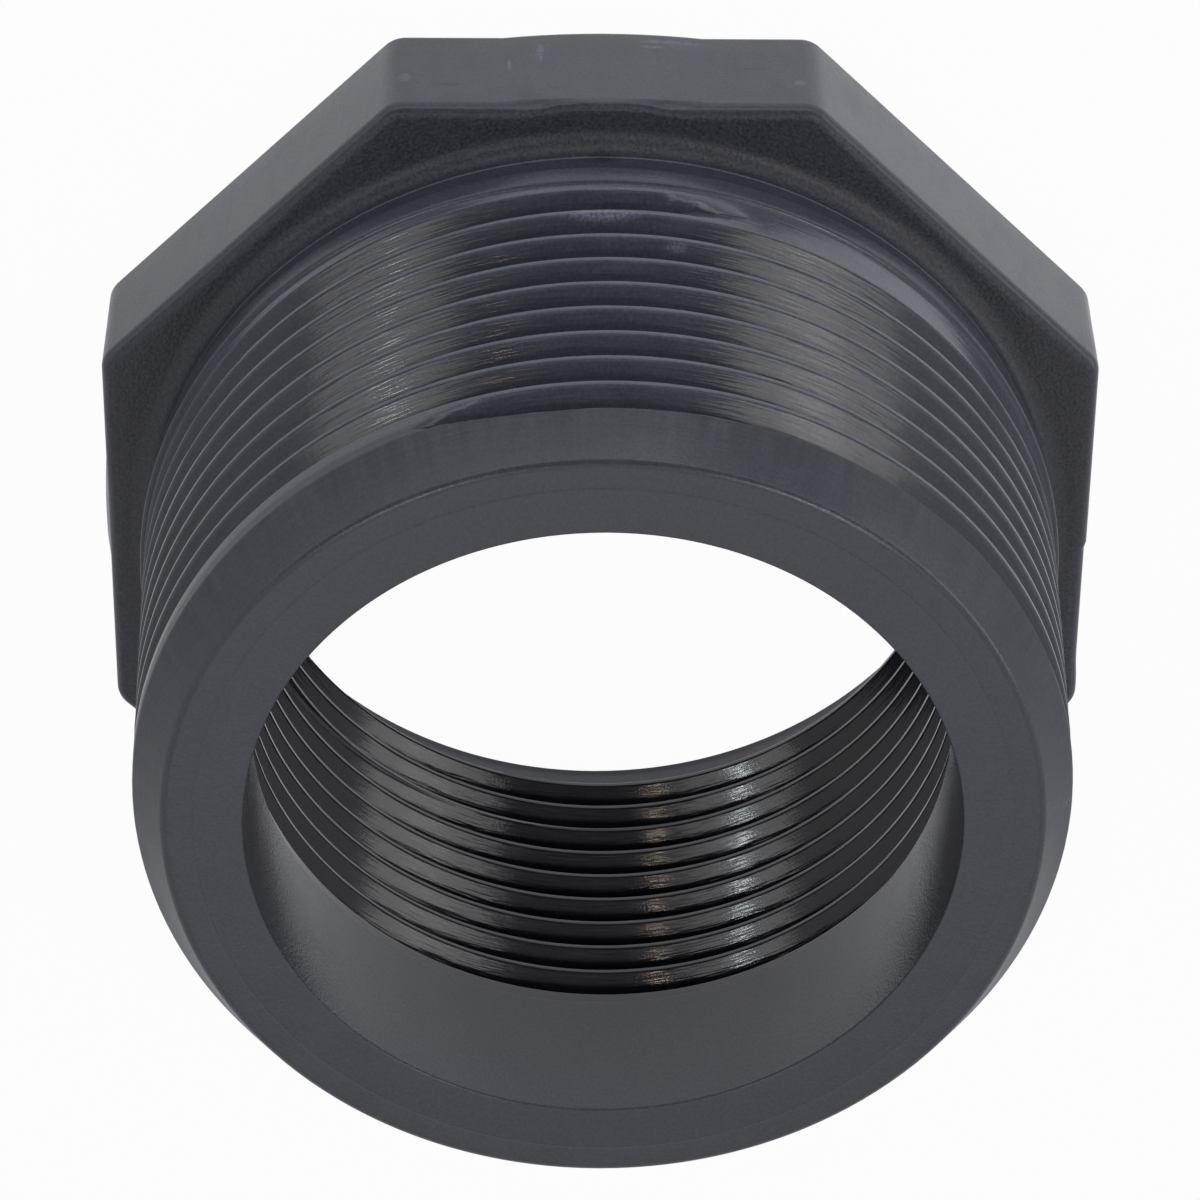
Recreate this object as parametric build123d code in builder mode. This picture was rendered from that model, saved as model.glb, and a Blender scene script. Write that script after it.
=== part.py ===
from build123d import *

import os
from math import atan, cos, degrees, radians, sin, tan

# Reducing bushing for threaded pipe, moulded in one piece of rigid plastic: an octagonal wrench head,
# a male taper thread that screws into the larger fitting, and a female taper thread for the smaller
# pipe. Millimetres. The head's back face lies on the XY plane, centred on the origin, and the male
# end points up +Z. The flat of the head that carries the gate pad faces -Y.

# Head, whose flats stand out by a step beyond the crests of the male thread's first turn
head_sides = 8
head_step = 2.16
head_height = 7.6
head_corner_radius = 1.6
head_front_round = 1.0
head_back_round = 0.4

# Gate pad: the low swelling in the middle of one flat, where the plastic went in. The flat at +X has
# the same swelling, which breaks off just past the middle, where the mould's halves met
gate_pad_width = 10.5
gate_pad_rise = 0.3
gate_pad_setback = 0.4
broken_pad_end = 2.0

# Male end
overall_height = 34.4
tip_crest_radius = 23.69
tip_chamfer_height = 2.9
tip_chamfer_depth = 1.68

# Neck and shoulder between the head and the male thread, set by the crests of its first turn
neck_height = 3.7
neck_inset = 0.1
neck_fillet = 0.8
shoulder_height = 0.9
shoulder_rise = 0.25
shoulder_round = 0.15

# Form of both threads: 60 degrees, narrowing by 1 in 16 on the diameter
pitch = 2.2087
crest_flat = 0.30
root_flat = 0.08
flank_angle = 30
taper = 1 / 32

# Male thread, given by its groove: its angle and its height above the shoulder where it reaches full
# depth, how far below the tip it leaves it, and the angle that each end takes to run out
male_start_angle = -88
male_lead_in = 1.08
male_end_gap = 3.43
male_runout_angle = 18

# Female side: mouth recess, female thread and plain bore
socket_crest_radius = 19.27
socket_depth = 25.4
mouth_relief = 0.56
mouth_depth = 4.3
bore_radius = 18.06

# Female thread, whose groove opens into the recess and ends before the plain bore
female_start_angle = 1
female_end_gap = 1.21
female_runout_angle = 24

# How far a thread's cutter stands out of the material, how far a run-out lifts its root clear of
# the crests, and the steps that it is lofted through
cutter_overlap = 0.5
runout_clearance = 0.05
runout_steps = 4

# What follows from the sizes above
taper_angle = degrees(atan(taper))
groove_half_width = (pitch - crest_flat) / 2
groove_depth = (groove_half_width - root_flat / 2) / tan(radians(flank_angle))
shoulder_base = head_height + neck_height
shoulder_top = shoulder_base + shoulder_height
chamfer_base = overall_height - tip_chamfer_height
male_start_height = shoulder_top + male_lead_in
male_turns = (overall_height - male_end_gap - male_start_height) / pitch
mouth_radius = socket_crest_radius + groove_depth + mouth_relief
female_start_height = mouth_depth - groove_half_width - cutter_overlap
female_turns = (socket_depth - female_end_gap - female_start_height) / pitch


def male_crest_radius(height):
    """Radius of the male thread's crests at a height, widest next to the head."""
    return tip_crest_radius + (overall_height - height) * taper


def female_crest_radius(height):
    """Radius of the female thread's crests at a height, widest at the mouth."""
    return socket_crest_radius - height * taper


def radial_plane(angle, radius, height):
    """Plane through the Z axis at an angle round it, with its x pointing outwards and its y up."""
    outwards = (cos(radians(angle)), sin(radians(angle)), 0)
    sideways = (sin(radians(angle)), -cos(radians(angle)), 0)
    origin = (radius * outwards[0], radius * outwards[1], height)
    return Plane(origin=origin, x_dir=outwards, z_dir=sideways)


def groove_section(crest_radius, side, angle, height, lift=0.0):
    """Section of the groove between two crests, at an angle round the axis and a height.

    Side is 1 for a groove cut inwards and -1 for one cut outwards. Lift draws the groove back out of
    the material.
    """
    open_side = side * (cutter_overlap + lift)
    crest = side * lift
    root = side * (lift - groove_depth)
    with BuildSketch(radial_plane(angle, crest_radius(height), height)) as section:
        with BuildLine():
            Polyline(
                (open_side, -groove_half_width),
                (crest, -groove_half_width),
                (root, -root_flat / 2),
                (root, root_flat / 2),
                (crest, groove_half_width),
                (open_side, groove_half_width),
                close=True,
            )
        make_face()
    return section.sketch


def groove_path(crest_radius, start_angle, start_height, turns):
    """Right-handed line round the taper along which a groove of full depth is cut."""
    slant_pitch = pitch / cos(radians(taper_angle))
    radius = crest_radius(start_height)
    with BuildLine(Plane.XY.offset(start_height)) as path:
        Helix(slant_pitch, pitch * turns, radius, cone_angle=-taper_angle)
    return path.line.rotate(Axis.Z, start_angle)


def cut_groove(crest_radius, side, start_angle, start_height, turns, runouts):
    """Cutter for a groove of full depth, with a rising run-out at each end that runouts names.

    Runouts pairs the turns at which a run-out begins, 0 or all of them, with the angle it takes.
    """
    with BuildPart() as cutter:
        sweep(
            groove_section(crest_radius, side, start_angle, start_height),
            groove_path(crest_radius, start_angle, start_height, turns),
            is_frenet=True,
        )
        ends = cutter.faces().filter_by(GeomType.PLANE).sort_by(Axis.Z)
        for turned, runout_angle in runouts:
            sections = [ends[0] if turned == 0 else ends[-1]]
            for step in range(1, runout_steps + 1):
                share = step / runout_steps
                angle = 360 * turned + share * runout_angle
                height = start_height + pitch * angle / 360
                lift = share**2 * (groove_depth + runout_clearance)
                sections.append(
                    groove_section(crest_radius, side, start_angle + angle, height, lift)
                )
            loft(sections)
    return cutter.part


def pad_section(flat_distance, base_radius):
    """Section of the low swelling on the flat that faces -Y."""
    flat_left = (-gate_pad_width / 2, -flat_distance)
    flat_right = (gate_pad_width / 2, -flat_distance)
    with BuildSketch(Plane.XY.offset(head_back_round)) as section:
        with BuildLine():
            ThreePointArc(flat_left, (0, -flat_distance - gate_pad_rise), flat_right)
            Polyline(flat_right, (0, -base_radius), flat_left)
        make_face()
    return section.sketch


with BuildPart() as bushing:
    # What the shoulder's crest carries with it
    shoulder_crest = male_crest_radius(shoulder_top)
    neck_radius = shoulder_crest - neck_inset
    shoulder_radius = shoulder_crest + shoulder_rise
    across_flats = 2 * (shoulder_crest + head_step)

    # Octagonal head with its upright corners rounded
    with BuildSketch() as head_outline:
        RegularPolygon(across_flats / 2, head_sides, major_radius=False, rotation=180 / head_sides)
        fillet(head_outline.vertices(), head_corner_radius)
    extrude(amount=head_height)
    fillet(bushing.edges().group_by(Axis.Z)[-1], head_front_round)
    fillet(bushing.edges().group_by(Axis.Z)[0], head_back_round)

    # Gate pad, and the broken pad a quarter turn on
    pad_length = head_height - head_back_round - head_front_round - gate_pad_setback
    gate_pad = pad_section(across_flats / 2, neck_radius)
    extrude(gate_pad, amount=pad_length)
    extrude(gate_pad.rotate(Axis.Z, 90), amount=pad_length)
    with BuildSketch():
        with Locations((across_flats / 2, broken_pad_end)):
            Rectangle(gate_pad_rise, gate_pad_width / 2, align=(Align.MIN, Align.MIN))
    extrude(amount=head_height, mode=Mode.SUBTRACT)

    # Neck, shoulder, tapered thread blank and chamfered tip
    chamfer_crest = male_crest_radius(chamfer_base)
    with BuildSketch(Plane.XZ) as outside:
        with BuildLine():
            Polyline(
                (0, 0),
                (neck_radius, 0),
                (neck_radius, shoulder_base),
                (shoulder_radius, shoulder_base),
                (shoulder_radius, shoulder_top),
                (shoulder_crest, shoulder_top),
                (chamfer_crest, chamfer_base),
                (chamfer_crest - tip_chamfer_depth, overall_height),
                (0, overall_height),
                close=True,
            )
        make_face()
        fillet(outside.vertices().group_by(Axis.X)[-1], shoulder_round)
    revolve(axis=Axis.Z)
    neck_foot = bushing.edges().filter_by(GeomType.CIRCLE).filter_by_position(
        Axis.Z, head_height, head_height
    )
    fillet(neck_foot.sort_by(SortBy.RADIUS)[-1], neck_fillet)

    # Mouth recess, tapered socket and plain bore
    with BuildSketch(Plane.XZ):
        with BuildLine():
            Polyline(
                (0, 0),
                (mouth_radius, 0),
                (mouth_radius, mouth_depth),
                (female_crest_radius(mouth_depth), mouth_depth),
                (female_crest_radius(socket_depth), socket_depth),
                (bore_radius, socket_depth),
                (bore_radius, overall_height),
                (0, overall_height),
                close=True,
            )
        make_face()
    revolve(axis=Axis.Z, mode=Mode.SUBTRACT)

    # Male thread, which runs out at both ends
    add(
        cut_groove(
            male_crest_radius,
            1,
            male_start_angle,
            male_start_height,
            male_turns,
            ((0, -male_runout_angle), (male_turns, male_runout_angle)),
        ),
        mode=Mode.SUBTRACT,
    )

    # Female thread, which opens into the mouth recess and runs out before the plain bore
    add(
        cut_groove(
            female_crest_radius,
            -1,
            female_start_angle,
            female_start_height,
            female_turns,
            ((female_turns, female_runout_angle),),
        ),
        mode=Mode.SUBTRACT,
    )
bushing.part.label = "bushing"

os.makedirs("parts", exist_ok=True)
export_step(bushing.part, "parts/bushing.step")
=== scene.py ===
import math

import bmesh
import bpy
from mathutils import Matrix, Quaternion, Vector


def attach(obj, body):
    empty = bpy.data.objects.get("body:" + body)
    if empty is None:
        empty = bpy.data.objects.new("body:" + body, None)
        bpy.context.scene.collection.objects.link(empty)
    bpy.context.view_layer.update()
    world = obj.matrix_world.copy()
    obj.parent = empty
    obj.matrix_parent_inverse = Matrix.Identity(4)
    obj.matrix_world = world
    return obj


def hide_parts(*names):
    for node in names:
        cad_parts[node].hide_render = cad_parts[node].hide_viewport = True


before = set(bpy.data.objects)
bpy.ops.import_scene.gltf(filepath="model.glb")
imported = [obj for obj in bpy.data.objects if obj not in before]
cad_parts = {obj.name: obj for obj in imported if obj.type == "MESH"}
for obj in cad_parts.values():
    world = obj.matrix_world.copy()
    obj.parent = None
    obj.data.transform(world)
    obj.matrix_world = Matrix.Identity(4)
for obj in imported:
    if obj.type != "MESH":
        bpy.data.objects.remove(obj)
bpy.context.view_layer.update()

# Camera. It looks down on the male end from the side of the gate pad, rolled half a turn, so that the
# head is at the top of the picture. Places are in millimetres and were fitted to the photograph.
MM = 0.001
CAMERA_PLACE = Vector((3.556, -162.916, 250.465))
CAMERA_AIM = Vector((0.089, -4.262, 20.0))
CAMERA_ROLL = math.radians(179.174)
PICTURE_SIDE_PX = 1200
FOCAL_LENGTH_PX = 5390.8
SENSOR_WIDTH = 36.0

camera_data = bpy.data.cameras.new("photo_camera")
camera_data.sensor_width = SENSOR_WIDTH
camera_data.lens = SENSOR_WIDTH * FOCAL_LENGTH_PX / PICTURE_SIDE_PX
camera_data.clip_start = 10 * MM
camera = bpy.data.objects.new("photo_camera", camera_data)
camera.location = CAMERA_PLACE * MM
camera.rotation_mode = "QUATERNION"
level_view = (CAMERA_AIM - CAMERA_PLACE).to_track_quat("-Z", "Y")
camera.rotation_quaternion = level_view @ Quaternion((0, 0, 1), CAMERA_ROLL)
bpy.context.scene.collection.objects.link(camera)
bpy.context.scene.camera = camera


# The bushing, before its threads are cut: one injection moulding in rigid grey plastic, octagonal head,
# neck, tapered wall, end ring, plain bore and mouth. It is drawn as one closed skin, ring after ring,
# and along both threads the rings climb with the helix, so that every crest lies on a row of points.
HEAD_SIDES = 8
ACROSS_FLATS = 53.08
HEAD_HEIGHT = 7.8
HEAD_CORNER_RADIUS = 1.6
LEAST_CORNER_RADIUS = 0.2
HEAD_FRONT_ROUND = 0.7
HEAD_BACK_ROUND = 0.4
PAD_WIDTH = 10.5
PAD_RISE = 0.29
GATE_PAD_TOP = 7.8
BROKEN_PAD_TOP = 7.0
BROKEN_PAD_END = 2.0
PAD_END_BLEND = 0.4
PAD_TOP_BLEND = 0.12
GATE_TONGUE_HALF_WIDTH = 1.5
GATE_TONGUE_BLEND = 3
GATE_PAD_SIDE_DROP = 0.6
GATE_TONGUE_FORWARD = 0.75
PARTING_STEP = 0.1
PARTING_STEP_PLACE = 0.9
PARTING_STEP_BLEND = 0.4
PARTING_STEP_END = 10
PARTING_STEP_FADE = 2

NECK_TOP = 10.3
NECK_INSET = 0.1
NECK_FILLET = 1.0
SHOULDER_TOP = 11.8
SHOULDER_RISE = 0.22
SHOULDER_ROUND = 0.2

OVERALL_HEIGHT = 34.4
TIP_CREST_RADIUS = 23.69
TIP_CHAMFER_HEIGHT = 2.9
TIP_CHAMFER_DEPTH = 1.68
TIP_ROUND = 0.55
EDGE_ROUND = 0.12
INNER_ROUND = 0.06
WITNESS_RING_RADIUS = 20.62
WITNESS_RING_HALF_WIDTH = 0.10
WITNESS_RING_DEPTH = 0.025

SOCKET_CREST_RADIUS = 19.27
SOCKET_DEPTH = 25.4
MOUTH_RADIUS = 21.41
MOUTH_DEPTH = 4.3
BORE_RADIUS = 18.06

PITCH = 2.2087
CREST_FLAT = 0.30
ROOT_FLAT = 0.08
FLANK_ANGLE = math.radians(30)
TAPER = 1 / 32
MALE_START_TURN = -88 / 360
MALE_START_HEIGHT = 13.28
MALE_TURNS = 8.009
FEMALE_START_TURN = 1 / 360
FEMALE_START_HEIGHT = 2.846
FEMALE_TURNS = 9.663

# The share of the width beyond which a point lies on one of the two side flats
SIDE_FLAT_START = 0.4

# Columns stand closer together at the head's corners, and where its side flats have a step. Rows stand
# closer together beside the thread's roots and crests.
COLUMNS = 264
CORNER_CROWDING = 0.75
STEP_COLUMNS = (-0.4, -0.2, 0, 0.2)
ROOT_ROWS = (0.02, 0.09)
CREST_ROW_GAP = 0.05
MERGE_DISTANCE = 0.002

MALE_WALL = 1
FEMALE_WALL = 2
groove_half_width = (PITCH - CREST_FLAT) / 2
groove_depth = (groove_half_width - ROOT_FLAT / 2) / math.tan(FLANK_ANGLE)
neck_radius = TIP_CREST_RADIUS + (OVERALL_HEIGHT - SHOULDER_TOP) * TAPER - NECK_INSET
shoulder_radius = neck_radius + NECK_INSET + SHOULDER_RISE


def column_turns():
    """The columns' places round the axis, in turns, from 0 to 1."""
    turns = []
    for column in range(COLUMNS + 1):
        even = column / COLUMNS
        wave = math.sin(2 * math.pi * HEAD_SIDES * even) / (2 * math.pi * HEAD_SIDES)
        turns.append(even + CORNER_CROWDING * wave)
    for past in STEP_COLUMNS:
        turns.append((BROKEN_PAD_END + past) / (math.pi * ACROSS_FLATS))
        turns.append(0.5 - (PARTING_STEP_PLACE + past) / (math.pi * ACROSS_FLATS))
    return sorted(turns)


def male_crest(height):
    """Radius of the male crests, widest at the head."""
    return TIP_CREST_RADIUS + (OVERALL_HEIGHT - height) * TAPER


def female_crest(height):
    """Radius of the female crests, widest at the mouth."""
    return SOCKET_CREST_RADIUS - height * TAPER


def smooth_step(value):
    """0 below 0, 1 above 1, and an easy curve between."""
    held = min(max(value, 0.0), 1.0)
    return held * held * (3 - 2 * held)


def swelling(across, end, below_top):
    """Rise of a pad at a signed distance from its flat's middle, up to its end and below its top."""
    bulge = max(1 - (2 * across / PAD_WIDTH) ** 2, 0)
    across_share = smooth_step((end - across) / PAD_END_BLEND)
    return PAD_RISE * bulge * across_share * smooth_step(below_top / PAD_TOP_BLEND)


def head_outline(turn, inset, height):
    """Radius of the octagon moved inwards by inset, with rounded corners and pads, in a direction."""
    half_side = math.pi / HEAD_SIDES
    angle = 2 * math.pi * turn
    from_flat = abs((angle + half_side) % (2 * half_side) - half_side)
    apothem = ACROSS_FLATS / 2 - inset
    corner = max(HEAD_CORNER_RADIUS - inset, LEAST_CORNER_RADIUS)
    corner_centre = (apothem - corner) / math.cos(half_side)
    corner_start = math.atan((apothem - corner) * math.tan(half_side) / apothem)
    if from_flat < corner_start:
        radius = apothem / math.cos(from_flat)
    else:
        aside = corner_centre * math.sin(half_side - from_flat)
        along = corner_centre * math.cos(half_side - from_flat)
        radius = along + math.sqrt(corner**2 - aside**2)
    away = radius * math.cos(angle)
    aside = radius * math.sin(angle)
    if away < -SIDE_FLAT_START * ACROSS_FLATS:
        past_step = smooth_step((aside - PARTING_STEP_PLACE) / PARTING_STEP_BLEND + 1)
        fade = smooth_step((PARTING_STEP_END - aside) / PARTING_STEP_FADE)
        radius -= PARTING_STEP * past_step * fade
    elif away > SIDE_FLAT_START * ACROSS_FLATS:
        radius += swelling(aside, BROKEN_PAD_END, BROKEN_PAD_TOP - height)
    elif aside < 0:
        beside = smooth_step((abs(away) - GATE_TONGUE_HALF_WIDTH) / GATE_TONGUE_BLEND)
        pad_top = GATE_PAD_TOP - GATE_PAD_SIDE_DROP * beside
        radius += swelling(away, PAD_WIDTH, pad_top - height)
        radius += GATE_TONGUE_FORWARD * inset * (1 - beside) * smooth_step(height / HEAD_HEIGHT)
    return radius


turns = column_turns()
rings = []


def add_ring(radius, height, wall=0):
    """One row of points; radius and height are numbers or functions of the turn."""
    ring = []
    for turn in turns:
        point_radius = radius(turn) if callable(radius) else radius
        point_height = height(turn) if callable(height) else height
        ring.append((point_radius, point_height, wall))
    rings.append(ring)


def add_arc(centre_radius, centre_height, arc_radius, start, end, steps, outline=False):
    """Rows round a small arc, from a start to an end angle in degrees, 0 outwards and 90 up."""
    for step in range(steps + 1):
        angle = math.radians(start + (end - start) * step / steps)
        out = arc_radius * math.cos(angle)
        height = centre_height + arc_radius * math.sin(angle)
        if outline:
            inset = arc_radius - out
            add_ring(lambda turn: head_outline(turn, inset, height), height)
        else:
            add_ring(centre_radius + out, height)


def add_face(inner, outer, height, steps):
    """Rows between two outlines at one height, without either of them."""
    for step in range(1, steps):
        share = step / steps
        add_ring(lambda turn: inner(turn) + (outer(turn) - inner(turn)) * share, height)


def row_offsets():
    """Heights of one pitch's rows above the groove's centre, close together where the form bends."""
    half_root = ROOT_FLAT / 2
    flank = [half_root + past for past in ROOT_ROWS] + [groove_half_width / 2]
    crest = [groove_half_width + past for past in (-CREST_ROW_GAP, 0, CREST_ROW_GAP)]
    upper = flank + crest
    return [0.0, *upper, PITCH / 2, *(PITCH - offset for offset in reversed(upper))]


def add_thread_rows(crest, start_turn, start_height, low, high, wall, downwards=False):
    """Rows that climb by a pitch in each turn, held between a low and a high ring."""
    first_pass = math.floor((low - start_height) / PITCH) - 2
    last_pass = math.ceil((high - start_height) / PITCH) + 2
    passes = range(first_pass, last_pass)
    heights = [PITCH * turn + offset for turn in passes for offset in row_offsets()]
    for rise in reversed(heights) if downwards else heights:
        def row_height(turn):
            return min(max(start_height + PITCH * (turn - start_turn) + rise, low), high)
        add_ring(lambda turn: crest(row_height(turn)), row_height, wall)


# Back face and head
add_face(
    lambda turn: MOUTH_RADIUS + EDGE_ROUND,
    lambda turn: head_outline(turn, HEAD_BACK_ROUND, 0),
    0,
    3,
)
add_arc(0, HEAD_BACK_ROUND, HEAD_BACK_ROUND, -90, 0, 3, outline=True)
front_round_base = HEAD_HEIGHT - HEAD_FRONT_ROUND
for share in (0.25, 0.5, 0.75):
    height = HEAD_BACK_ROUND + (front_round_base - HEAD_BACK_ROUND) * share
    add_ring(lambda turn: head_outline(turn, 0, height), height)
add_arc(0, front_round_base, HEAD_FRONT_ROUND, 0, 90, 7, outline=True)
fillet_outside = neck_radius + NECK_FILLET
add_face(
    lambda turn: head_outline(turn, HEAD_FRONT_ROUND, HEAD_HEIGHT),
    lambda turn: fillet_outside,
    HEAD_HEIGHT,
    4,
)

# Neck and shoulder
add_arc(fillet_outside, HEAD_HEIGHT + NECK_FILLET, NECK_FILLET, -90, -180, 5)
add_ring(neck_radius, NECK_TOP - INNER_ROUND)
add_ring(neck_radius + INNER_ROUND, NECK_TOP)
add_arc(shoulder_radius - SHOULDER_ROUND, NECK_TOP + SHOULDER_ROUND, SHOULDER_ROUND, -90, 0, 3)
add_arc(shoulder_radius - SHOULDER_ROUND, SHOULDER_TOP - SHOULDER_ROUND, SHOULDER_ROUND, 0, 90, 3)
add_ring(male_crest(SHOULDER_TOP) + INNER_ROUND / 2, SHOULDER_TOP)

# Wall of the male thread, tip chamfer and end ring. The thread runs out on the chamfer, so the
# chamfer's foot has rows of its own.
CHAMFER_ROWS = 12
CHAMFER_ROW_GAP = 0.06
chamfer_base = OVERALL_HEIGHT - TIP_CHAMFER_HEIGHT
chamfer_slope = TIP_CHAMFER_DEPTH / TIP_CHAMFER_HEIGHT
tip_radius = male_crest(chamfer_base) - TIP_CHAMFER_DEPTH
add_thread_rows(
    male_crest,
    MALE_START_TURN,
    MALE_START_HEIGHT,
    SHOULDER_TOP + INNER_ROUND,
    chamfer_base - INNER_ROUND,
    MALE_WALL,
)
for step in range(1, CHAMFER_ROWS + 1):
    rise = CHAMFER_ROW_GAP * step
    add_ring(male_crest(chamfer_base) - rise * chamfer_slope, chamfer_base + rise, MALE_WALL)
chamfer_lean = math.atan(chamfer_slope)
round_inset = TIP_ROUND * (1 - math.sin(chamfer_lean)) / math.cos(chamfer_lean)
add_arc(
    tip_radius - round_inset,
    OVERALL_HEIGHT - TIP_ROUND,
    TIP_ROUND,
    math.degrees(chamfer_lean),
    90,
    6,
)
for beside, depth in ((1, 0), (0.4, 1), (-0.4, 1), (-1, 0)):
    add_ring(
        WITNESS_RING_RADIUS + beside * WITNESS_RING_HALF_WIDTH,
        OVERALL_HEIGHT - depth * WITNESS_RING_DEPTH,
    )

# Plain bore, wall of the female thread, and mouth
add_arc(BORE_RADIUS + EDGE_ROUND, OVERALL_HEIGHT - EDGE_ROUND, EDGE_ROUND, 90, 180, 3)
for share in (0.33, 0.67):
    add_ring(BORE_RADIUS, OVERALL_HEIGHT - (OVERALL_HEIGHT - SOCKET_DEPTH) * share)
add_arc(BORE_RADIUS + EDGE_ROUND, SOCKET_DEPTH + EDGE_ROUND, EDGE_ROUND, 180, 270, 3)
add_ring(female_crest(SOCKET_DEPTH) - INNER_ROUND, SOCKET_DEPTH)
add_ring(female_crest(SOCKET_DEPTH), SOCKET_DEPTH - INNER_ROUND)
add_thread_rows(
    female_crest,
    FEMALE_START_TURN,
    FEMALE_START_HEIGHT,
    MOUTH_DEPTH,
    SOCKET_DEPTH - INNER_ROUND,
    FEMALE_WALL,
    downwards=True,
)
add_ring(MOUTH_RADIUS - INNER_ROUND, MOUTH_DEPTH)
add_ring(MOUTH_RADIUS, MOUTH_DEPTH - INNER_ROUND)
add_ring(MOUTH_RADIUS, MOUTH_DEPTH / 2)
add_arc(MOUTH_RADIUS + EDGE_ROUND, EDGE_ROUND, EDGE_ROUND, 180, 270, 3)

blank = bmesh.new()
wall_layer = blank.verts.layers.float.new("thread_wall")
grid = []
for ring in rings:
    row = []
    for turn, (radius, height, wall) in zip(turns, ring):
        angle = 2 * math.pi * turn
        place = Vector((radius * math.cos(angle), radius * math.sin(angle), height))
        vertex = blank.verts.new(place * MM)
        vertex[wall_layer] = wall
        row.append(vertex)
    grid.append(row)
for row, next_row in zip(grid, grid[1:] + grid[:1]):
    for column in range(len(turns) - 1):
        corners = (row[column], row[column + 1], next_row[column + 1], next_row[column])
        blank.faces.new(corners)
bmesh.ops.remove_doubles(blank, verts=blank.verts, dist=MERGE_DISTANCE * MM)
bmesh.ops.recalc_face_normals(blank, faces=blank.faces)
bushing_mesh = bpy.data.meshes.new("moulded_bushing")
blank.to_mesh(bushing_mesh)
blank.free()
bushing_mesh.shade_smooth()
bushing = bpy.data.objects.new("moulded_bushing", bushing_mesh)
bpy.context.scene.collection.objects.link(bushing)


class Number:
    """A number that flows through a node tree. Python's operators on it add Math nodes."""

    def __init__(self, tree, socket):
        self.tree = tree
        self.socket = socket

    def math(self, operation, *others):
        return self.tree.number("ShaderNodeMath", {"operation": operation}, [self, *others])

    def __add__(self, other):
        return self.math("ADD", other)

    def __sub__(self, other):
        return self.math("SUBTRACT", other)

    def __rsub__(self, other):
        return self.tree.number("ShaderNodeMath", {"operation": "SUBTRACT"}, [other, self])

    def __mul__(self, other):
        return self.math("MULTIPLY", other)

    def __truediv__(self, other):
        return self.math("DIVIDE", other)

    def __neg__(self):
        return self.math("MULTIPLY", -1)

    def __abs__(self):
        return self.math("ABSOLUTE")

    __radd__ = __add__
    __rmul__ = __mul__


class Tree:
    """A node tree, to which node() adds one node with its settings and its inputs."""

    def __init__(self, nodes, links):
        self.nodes = nodes
        self.links = links

    def node(self, kind, settings=None, inputs=None):
        """Adds a node. Inputs is a list in the sockets' order or a dictionary by socket name."""
        node = self.nodes.new(kind)
        for name, value in (settings or {}).items():
            setattr(node, name, value)
        named = inputs.items() if isinstance(inputs, dict) else enumerate(inputs or [])
        for key, value in named:
            source = value.socket if isinstance(value, Number) else value
            if isinstance(source, bpy.types.NodeSocket):
                self.links.new(source, node.inputs[key])
            elif source is not None:
                node.inputs[key].default_value = source
        return node

    def number(self, kind, settings=None, inputs=None, output=0):
        """Adds a node and gives one of its outputs as a number."""
        return Number(self, self.node(kind, settings, inputs).outputs[output])


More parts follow.
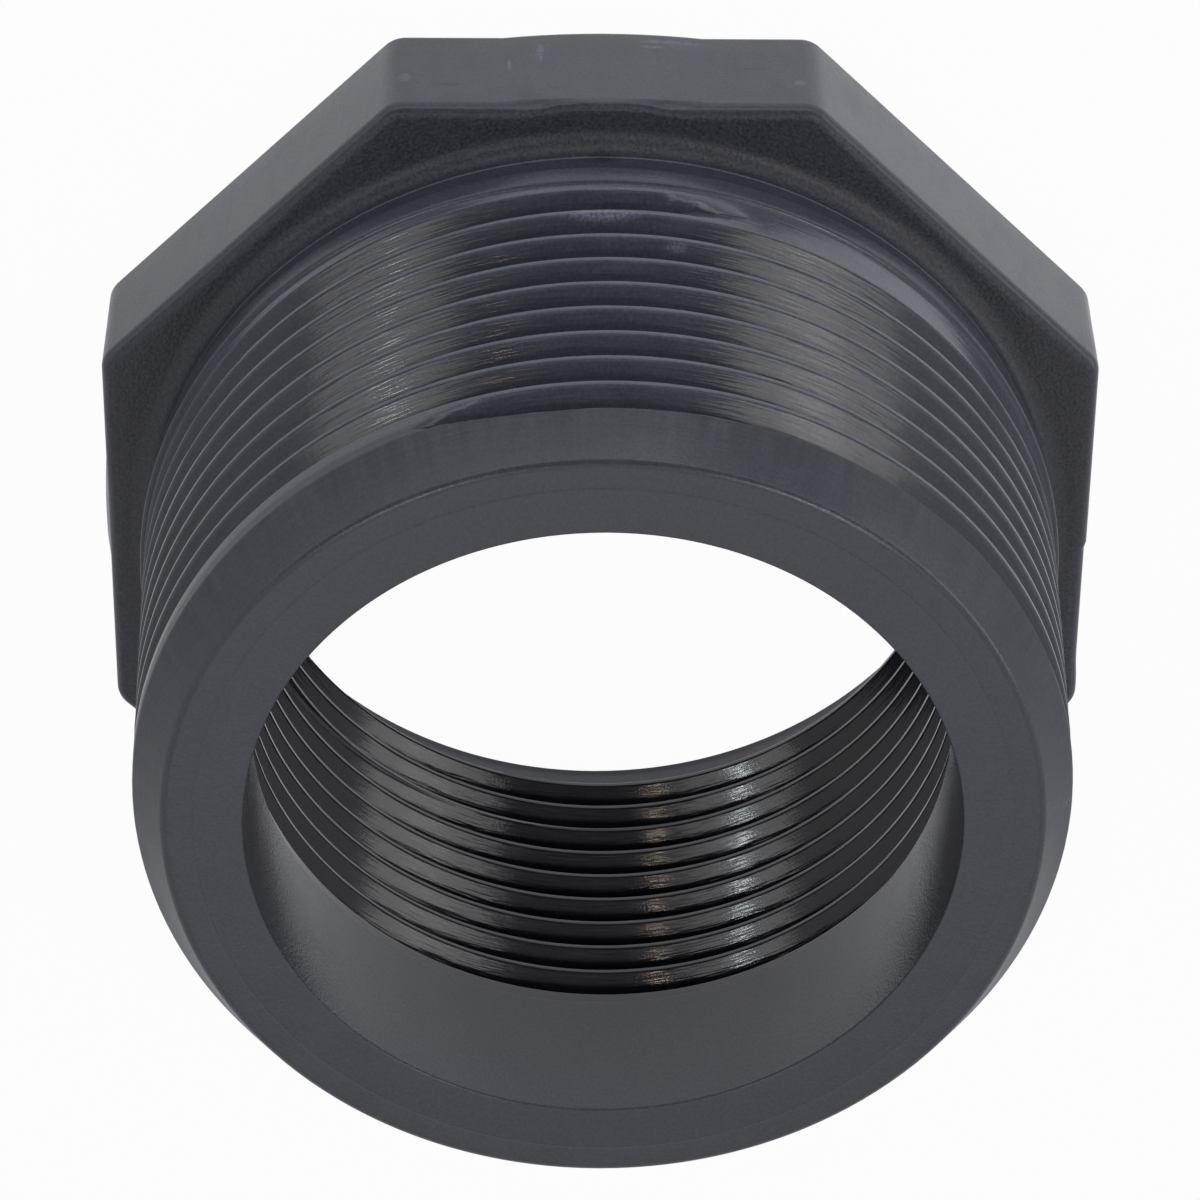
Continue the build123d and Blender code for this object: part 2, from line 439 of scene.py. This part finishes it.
# The threads: right-handed 60 degree grooves that follow the wall's taper and run out where they end.
# One tree cuts either of them, inwards or outwards, and marks how deep it cut. Its inputs are in metres.
def thread_tree():
    """Geometry Nodes tree that cuts a taper thread into one wall of the blank."""
    group = bpy.data.node_groups.new("cut_taper_thread", "GeometryNodeTree")
    interface = group.interface
    interface.new_socket("Geometry", in_out="INPUT", socket_type="NodeSocketGeometry")
    for name in (
        "Wall",
        "Side",
        "Crest Radius",
        "Taper",
        "Pitch",
        "Half Width",
        "Depth",
        "Flank Slope",
        "Softness",
        "Start Turn",
        "Start Height",
        "Turns",
        "First Runout",
        "Last Runout",
    ):
        interface.new_socket(name, in_out="INPUT", socket_type="NodeSocketFloat")
    interface.new_socket("Material", in_out="INPUT", socket_type="NodeSocketMaterial")
    interface.new_socket("Geometry", in_out="OUTPUT", socket_type="NodeSocketGeometry")
    tree = Tree(group.nodes, group.links)
    given = tree.node("NodeGroupInput").outputs

    def size(name):
        return Number(tree, given[name])

    place = tree.node("GeometryNodeInputPosition").outputs[0]
    parts = tree.node("ShaderNodeSeparateXYZ", inputs=[place])
    x, y, z = (Number(tree, parts.outputs[axis]) for axis in range(3))
    radius = (x * x + y * y).math("SQRT")
    turn = y.math("ARCTAN2", x) / (2 * math.pi)
    passes = (z - size("Start Height")) / size("Pitch") - (turn - size("Start Turn"))
    whole_passes = passes.math("ROUND")
    from_centre = abs(passes - whole_passes) * size("Pitch")
    turned = turn - size("Start Turn") + whole_passes
    before = -turned / size("First Runout")
    after = (turned - size("Turns")) / size("Last Runout")
    overrun = before.math("MAXIMUM", after).math("MAXIMUM", 0)
    lift = overrun * overrun * size("Depth")
    flank = (size("Half Width") - from_centre) * size("Flank Slope")
    form = flank.math("SMOOTH_MIN", size("Depth"), size("Softness"))
    depth = (form - lift).math("SMOOTH_MAX", 0, size("Softness"))
    crest = size("Crest Radius") - z * size("Taper")
    side = size("Side")
    cut_radius = (radius * side).math("MINIMUM", crest * side - depth) * side
    wall = tree.number(
        "GeometryNodeInputNamedAttribute", {"data_type": "FLOAT"}, {"Name": "thread_wall"}
    )
    mask = 1 - abs(wall - size("Wall")).math("MINIMUM", 1)
    share = (cut_radius / radius - 1) * mask
    shift = tree.node("ShaderNodeCombineXYZ", inputs=[x * share, y * share, 0.0])
    moved = tree.node(
        "GeometryNodeSetPosition", inputs={"Geometry": given["Geometry"], "Offset": shift.outputs[0]}
    )
    marked = tree.node(
        "GeometryNodeStoreNamedAttribute",
        {"data_type": "FLOAT", "domain": "POINT"},
        {
            "Geometry": moved.outputs[0],
            "Selection": mask,
            "Name": "cut_share",
            "Value": depth / size("Depth"),
        },
    )
    realized = tree.node("GeometryNodeRealizeInstances", inputs=[marked.outputs[0]])
    finished = tree.node(
        "GeometryNodeSetMaterial",
        inputs={"Geometry": realized.outputs[0], "Material": given["Material"]},
    )
    tree.node("NodeGroupOutput", inputs=[finished.outputs[0]])
    return group


def cut_thread(piece, group, material, sizes):
    """Adds the thread tree to a piece as a modifier, with its inputs set by name."""
    modifier = piece.modifiers.new("thread", "NODES")
    modifier.node_group = group
    for item in group.interface.items_tree:
        if item.item_type == "SOCKET" and item.in_out == "INPUT" and item.name in sizes:
            modifier[item.identifier] = sizes[item.name]
        elif item.item_type == "SOCKET" and item.name == "Material":
            modifier[item.identifier] = material


CUT_SOFTNESS = 0.06
MALE_RUNOUT = 18 / 360
FEMALE_FIRST_RUNOUT = 18 / 360
FEMALE_LAST_RUNOUT = 24 / 360
bushing_plastic = bpy.data.materials.new("grey_moulded_plastic")
taper_cut = thread_tree()
common_sizes = {
    "Taper": TAPER,
    "Pitch": PITCH * MM,
    "Half Width": groove_half_width * MM,
    "Depth": groove_depth * MM,
    "Flank Slope": 1 / math.tan(FLANK_ANGLE),
    "Softness": CUT_SOFTNESS * MM,
}
male_sizes = {
    "Wall": float(MALE_WALL),
    "Side": 1.0,
    "Crest Radius": male_crest(0) * MM,
    "Start Turn": MALE_START_TURN,
    "Start Height": MALE_START_HEIGHT * MM,
    "Turns": MALE_TURNS,
    "First Runout": MALE_RUNOUT,
    "Last Runout": MALE_RUNOUT,
}
female_sizes = {
    "Wall": float(FEMALE_WALL),
    "Side": -1.0,
    "Crest Radius": female_crest(0) * MM,
    "Start Turn": FEMALE_START_TURN,
    "Start Height": FEMALE_START_HEIGHT * MM,
    "Turns": FEMALE_TURNS,
    "First Runout": FEMALE_FIRST_RUNOUT,
    "Last Runout": FEMALE_LAST_RUNOUT,
}
cut_thread(bushing, taper_cut, bushing_plastic, common_sizes | male_sizes)
cut_thread(bushing, taper_cut, bushing_plastic, common_sizes | female_sizes)
depsgraph = bpy.context.evaluated_depsgraph_get()
cut_mesh = bpy.data.meshes.new_from_object(bushing.evaluated_get(depsgraph), depsgraph=depsgraph)
bushing.modifiers.clear()
bushing.data = cut_mesh
cut_mesh.name = "moulded_bushing"


def shade_by_area(mesh):
    """Lets broad faces set the shading at their edges, so that only the small rounds look curved."""
    normals = [Vector() for vertex in mesh.vertices]
    for face in mesh.polygons:
        share = face.normal * (face.area / MM**2)
        for index in face.vertices:
            normals[index] += share
    mesh.normals_split_custom_set_from_vertices([normal.normalized() for normal in normals])


shade_by_area(cut_mesh)

# The plastic's finish: faint mottling and fine grain everywhere, glossier threads with lines along them
# from the mould's cores, a rougher head face and tip, a witness line round the neck, and the marks of the
# photographed bushing. Its colour also holds painted light: painted highlights on the crests and along
# the neck's witness line, and painted shade over the female thread in the bore, on the head's face and on
# the neck. Lengths in the tree are in millimetres.
PLASTIC_RED = 0.070
PLASTIC_GREEN = 0.073
PLASTIC_BLUE = 0.098
DARKEST_SHADE = 0.15
PLASTIC_ROUGHNESS = 0.25
WITNESS_LINE_AND_GLINT_HEIGHT = 8.85
LAND_BASE = 30.4
bushing_plastic.use_nodes = True
bushing_plastic.node_tree.nodes.clear()
plastic = Tree(bushing_plastic.node_tree.nodes, bushing_plastic.node_tree.links)
place_metres = plastic.node("ShaderNodeTexCoord").outputs["Object"]
place = plastic.node(
    "ShaderNodeVectorMath", {"operation": "SCALE"}, {"Vector": place_metres, "Scale": 1 / MM}
).outputs[0]
axes = plastic.node("ShaderNodeSeparateXYZ", inputs=[place]).outputs
along_x, along_y, height = (Number(plastic, axes[axis]) for axis in range(3))
radius = (along_x * along_x + along_y * along_y).math("SQRT")
around = along_y.math("ARCTAN2", along_x) * neck_radius
wall = plastic.number("ShaderNodeAttribute", {"attribute_name": "thread_wall"}, output=2)
cut_share = plastic.number("ShaderNodeAttribute", {"attribute_name": "cut_share"}, output=2)


def noise(stretch, scale, detail):
    """Noise round 0 over height, distance round the axis and radius, each with its own stretch."""
    parts = [height * stretch[0], around * stretch[1], radius * stretch[2]]
    vector = plastic.node("ShaderNodeCombineXYZ", inputs=parts).outputs[0]
    given = {"Vector": vector, "Scale": scale, "Detail": detail}
    return plastic.number("ShaderNodeTexNoise", inputs=given) - 0.5


def ramp(value, low, high):
    """Smooth step of a value from 0 at low to 1 at high."""
    return plastic.number(
        "ShaderNodeMapRange", {"interpolation_type": "SMOOTHSTEP"}, [value, low, high, 0.0, 1.0]
    )


def spots(places):
    """1 in the middle of each of several ellipsoids, falling to 0 at their skins."""
    nearest = None
    for centre, half_sizes in places:
        scale = [1 / size for size in half_sizes]
        shift = [-part / size for part, size in zip(centre, half_sizes)]
        scaled = plastic.node(
            "ShaderNodeVectorMath", {"operation": "MULTIPLY_ADD"}, [place, scale, shift]
        ).outputs[0]
        away = plastic.number("ShaderNodeVectorMath", {"operation": "LENGTH"}, [scaled], output=1)
        nearest = away if nearest is None else nearest.math("MINIMUM", away)
    return 1 - ramp(nearest, 0.35, 1.0)


on_male = 1 - abs(wall - MALE_WALL).math("MINIMUM", 1)
on_female = ramp(wall, 1.4, 1.6)
on_thread = on_male + on_female
uncut = 1 - ramp(cut_share, 0.02, 0.12)
on_land = on_male * ramp(height, LAND_BASE, LAND_BASE + 0.5) * uncut
on_crest = uncut * (on_male - on_land)

# The head's flats, its face out to the neck's fillet, and the neck below the shoulder
above_face = height - HEAD_HEIGHT
off_neck = radius - neck_radius
on_flats = (1 - ramp(above_face, -1.0, -0.5)) * ramp(off_neck, 0.3, 0.7)
on_face = ramp(above_face, -0.2, -0.05) * (1 - ramp(above_face, 0.9, 1.05))
on_neck = (1 - ramp(off_neck, 0.0, 0.2)) * ramp(above_face, 0.4, 0.6)
on_neck = on_neck * (1 - ramp(height, NECK_TOP - 0.1, NECK_TOP + 0.1))
# The witness line round the neck: its relief is real, and its lighter colour is a painted highlight
witness_line_and_glint = (1 - ramp(abs(height - WITNESS_LINE_AND_GLINT_HEIGHT), 0.03, 0.12)) * 0.9

mottling = noise((1, 1, 1), 0.35, 2.0)
grain = noise((1, 1, 1), 6.0, 1.0)
thread_lines = noise((1, 0.05, 1), 9.0, 1.0)
drag_marks = noise((0.10, 1, 0.10), 2.0, 2.0)
flow_marks = noise((0.25, 0.6, 1), 1.6, 3.0)

# The marks of the photographed bushing, each with its centre and half sizes. Scuffed: scratches on the
# gate pad's flat, nicks in two crests and a smear beside the tip. Stained: specks on the gate pad's flat,
# two pits on the next flat, and the nub on the neck.
scuffed = spots(
    (
        ((-3.6, -26.7, 1.0), (2.4, 0.8, 0.25)),
        ((-2.6, -26.7, 1.6), (0.9, 0.8, 0.18)),
        ((4.9, -26.7, 3.3), (0.14, 0.6, 0.8)),
        ((3.3, -26.7, 2.2), (0.25, 0.7, 1.2)),
        ((10.3, -26.3, 4.6), (0.5, 0.5, 0.8)),
        ((-10.2, -26.3, 5.0), (0.5, 0.5, 0.5)),
        ((0.2, -24.3, 14.5), (2.6, 0.7, 0.45)),
        ((-3.7, -23.9, 17.0), (1.0, 0.6, 0.35)),
        ((-23.3, -0.2, 31.4), (1.0, 0.5, 1.6)),
    )
)
stained = spots(
    (
        ((-7.9, -26.6, 3.5), (1.2, 0.5, 0.10)),
        ((8.2, -26.6, 5.3), (1.2, 0.5, 0.25)),
        ((2.5, -26.6, 6.0), (1.0, 0.5, 0.20)),
        ((-24.8, -12.7, 3.6), (0.22, 0.22, 0.25)),
        ((-24.5, -13.0, 4.6), (0.12, 0.12, 0.18)),
        ((0.0, -24.6, 8.9), (1.3, 0.8, 0.8)),
    )
)

# How light the plastic is, as a share of its own colour, with painted highlights and painted shade in it
shade = 1 + mottling * 0.30 + grain * (0.7 + on_face * 1.3)
shade = shade * (1 + flow_marks * 0.9 * on_flats)
shade = shade * (1 + drag_marks * 0.8 * on_land)
shade = shade * (1 + thread_lines * 0.5 * on_thread)
# Painted highlight: the crests lighter. Painted shade: the female thread inside the bore darker. The
# lands are a little darker.
shade = shade * (1 + on_crest * 0.5 - on_land * 0.15 - on_female * 0.5)
shade = shade + scuffed * (grain * 4 + 1.2) - stained * 0.4
# Painted shade: the neck below the shoulder and the head's face darker. Painted highlight: a light line
# along the neck's witness line.
shade = shade * (1 + (witness_line_and_glint * 1.5 - 0.1) * on_neck) * (1 - on_face * 0.3)
shade = shade.math("MAXIMUM", DARKEST_SHADE)
tint = plastic.node(
    "ShaderNodeCombineXYZ", inputs=[shade * PLASTIC_RED, shade * PLASTIC_GREEN, shade * PLASTIC_BLUE]
)

roughness = PLASTIC_ROUGHNESS + mottling * 0.12 + scuffed * 0.15
roughness = roughness - on_male * 0.11 - on_female * 0.14 + on_land * 0.2 + on_face * 0.2
roughness = roughness + flow_marks * 0.30 * on_flats

# Relief in millimetres
relief = grain * (0.010 + on_face * 0.015 - on_thread * 0.008)
relief = relief + thread_lines * 0.009 * on_thread
relief = relief + witness_line_and_glint * 0.03 * on_neck
bump = plastic.node(
    "ShaderNodeBump", inputs={"Strength": 1.0, "Distance": MM, "Height": relief}
)
surface = plastic.node(
    "ShaderNodeBsdfPrincipled",
    inputs={"Base Color": tint.outputs[0], "Roughness": roughness, "Normal": bump.outputs[0]},
)
plastic.node("ShaderNodeOutputMaterial", inputs={"Surface": surface.outputs[0]})

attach(bushing, "root")
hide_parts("bushing")


# Floor and light: a white ground that keeps the shadow, with a painted glow that only glossy surfaces
# see, brightest in a pool in front of the gate pad and under the bore. It lies just clear of the back
# face.
# Lengths here are in metres.
FLOOR_SIZE = 1.2
FLOOR_DROP = 0.02 * MM
floor_mesh = bpy.data.meshes.new("floor")
half_floor = FLOOR_SIZE / 2
floor_corners = [
    (x * half_floor, y * half_floor, -FLOOR_DROP) for x, y in ((-1, -1), (1, -1), (1, 1), (-1, 1))
]
floor_mesh.from_pydata(floor_corners, [], [(0, 1, 2, 3)])
floor = bpy.data.objects.new("floor", floor_mesh)
bpy.context.scene.collection.objects.link(floor)

WHITE = (1, 1, 1, 1)
FLOOR_GREY = (0.8, 0.8, 0.8, 1)
COOL_WHITE = (0.95, 0.96, 1.0, 1)
POOL_CENTRE = (-0.013, -0.034, 0)
POOL_RADIUS = 0.075
POOL_SHARE = 1.0
POOL_EDGE_SHARE = 0.56
CAMERA_SHARE = 0.97
BORE_GROUND_RADIUS = 0.021
floor_paint = bpy.data.materials.new("white_floor")
floor_paint.use_nodes = True
floor_paint.node_tree.nodes.clear()
paint = Tree(floor_paint.node_tree.nodes, floor_paint.node_tree.links)
diffuse = paint.node("ShaderNodeBsdfDiffuse", inputs={"Color": FLOOR_GREY})
glow = paint.node("ShaderNodeEmission", inputs={"Color": COOL_WHITE, "Strength": 1.0})
backdrop_glow = paint.node("ShaderNodeEmission", inputs={"Color": WHITE, "Strength": 1.0})
dark = paint.node("ShaderNodeEmission", inputs={"Color": WHITE, "Strength": 0.0})
seen = paint.node("ShaderNodeLightPath").outputs
floor_place = paint.node("ShaderNodeTexCoord").outputs["Object"]
away = paint.number(
    "ShaderNodeVectorMath", {"operation": "DISTANCE"}, [floor_place, POOL_CENTRE], output=1
)
fall = paint.number(
    "ShaderNodeMapRange",
    {"interpolation_type": "SMOOTHSTEP"},
    [away, 0.0, POOL_RADIUS, POOL_SHARE, POOL_EDGE_SHARE],
)
from_axis = paint.number("ShaderNodeVectorMath", {"operation": "LENGTH"}, [floor_place], output=1)
in_bore = from_axis.math("LESS_THAN", BORE_GROUND_RADIUS)
# Painted glow for reflections: brightest in a pool near the bushing and in a disc under the bore
pool = paint.node(
    "ShaderNodeMixShader", inputs=[fall.math("MAXIMUM", in_bore), dark.outputs[0], glow.outputs[0]]
)
glossy_share = Number(paint, seen["Is Glossy Ray"])
lit = paint.node("ShaderNodeMixShader", inputs=[glossy_share, diffuse.outputs[0], pool.outputs[0]])
seen_straight = Number(paint, seen["Is Camera Ray"]) + Number(paint, seen["Is Transmission Ray"])
mixed = paint.node(
    "ShaderNodeMixShader",
    inputs=[seen_straight * CAMERA_SHARE, lit.outputs[0], backdrop_glow.outputs[0]],
)
paint.node("ShaderNodeOutputMaterial", inputs={"Surface": mixed.outputs[0]})
floor_mesh.materials.append(floor_paint)

# The room: white to the camera and nearly dark as a light. Glossy surfaces see it dark on the gate pad's
# side and pale on the other, and it turns from one to the other between two values of a direction's Y.
ROOM_STRENGTH = 0.02
DARK_SIDE_Y = -0.44
PALE_SIDE_Y = -0.12
DARK_SIDE_SHARE = 0.04
PALE_SIDE_SHARE = 0.62
DIFFUSE_SHARE = 0.10
world = bpy.data.worlds.new("studio")
bpy.context.scene.world = world
world.use_nodes = True
world.node_tree.nodes.clear()
room = Tree(world.node_tree.nodes, world.node_tree.links)
room_light = room.node("ShaderNodeBackground", inputs={"Color": WHITE, "Strength": ROOM_STRENGTH})
backdrop = room.node("ShaderNodeBackground", inputs={"Color": WHITE, "Strength": 1.0})
ray = room.node("ShaderNodeLightPath").outputs
direction = room.node("ShaderNodeTexCoord").outputs["Generated"]
direction_axes = room.node("ShaderNodeSeparateXYZ", inputs=[direction]).outputs
wall_share = room.number(
    "ShaderNodeMapRange",
    {"interpolation_type": "SMOOTHSTEP"},
    [direction_axes["Y"], DARK_SIDE_Y, PALE_SIDE_Y, DARK_SIDE_SHARE, PALE_SIDE_SHARE],
)
backdrop_share = Number(room, ray["Is Camera Ray"]) + Number(room, ray["Is Transmission Ray"])
backdrop_share += Number(room, ray["Is Glossy Ray"]) * wall_share
backdrop_share += Number(room, ray["Is Diffuse Ray"]) * DIFFUSE_SHARE
shown = room.node(
    "ShaderNodeMixShader", inputs=[backdrop_share, room_light.outputs[0], backdrop.outputs[0]]
)
room.node("ShaderNodeOutputWorld", inputs={"Surface": shown.outputs[0]})

# Lamps: two high windows with small sparks in them on the gate pad's side, four low ones round the same
# side, and a wide one each above and behind
LAMP_DISTANCE = 0.6
WARM = (1.0, 0.80, 0.64)
PALE_WARM = (1.0, 0.94, 0.84)
COOL = (0.86, 0.94, 1.0)
OBJECT_CENTRE = Vector((0, 0, 0.017))


def add_lamp(name, azimuth, elevation, size, watts, colour=(1, 1, 1)):
    """A soft lamp that faces the bushing from a direction in degrees."""
    lamp_data = bpy.data.lights.new(name, "AREA")
    lamp_data.shape = "RECTANGLE"
    lamp_data.size, lamp_data.size_y = size
    lamp_data.energy = watts
    lamp_data.color = colour
    lamp = bpy.data.objects.new(name, lamp_data)
    level = math.cos(math.radians(elevation))
    along_x = level * math.cos(math.radians(azimuth))
    along_y = level * math.sin(math.radians(azimuth))
    towards_lamp = Vector((along_x, along_y, math.sin(math.radians(elevation))))
    lamp.location = OBJECT_CENTRE + towards_lamp * LAMP_DISTANCE
    lamp.rotation_mode = "QUATERNION"
    lamp.rotation_quaternion = (-towards_lamp).to_track_quat("-Z", "Y")
    bpy.context.scene.collection.objects.link(lamp)


add_lamp("window_right", 212, 57, (0.24, 0.22), 0.34)
add_lamp("window_left", 324, 58, (0.20, 0.20), 0.20)
add_lamp("spark_right", 212, 57, (0.012, 0.04), 0.12, PALE_WARM)
add_lamp("spark_left", 325, 60, (0.02, 0.03), 0.06, COOL)
add_lamp("spark_middle", 296, 65, (0.010, 0.03), 0.025, WARM)
add_lamp("low_right", 195, 8, (0.50, 0.20), 0.45)
add_lamp("low_key", 240, 14, (0.50, 0.24), 0.32)
add_lamp("low_front", 278, 10, (0.50, 0.20), 0.38)
add_lamp("low_left", 322, 8, (0.50, 0.20), 0.26)
add_lamp("top", 0, 89, (0.60, 0.60), 0.10)
add_lamp("back", 90, 62, (0.60, 0.22), 0.18)

bpy.context.scene.view_settings.view_transform = "Standard"
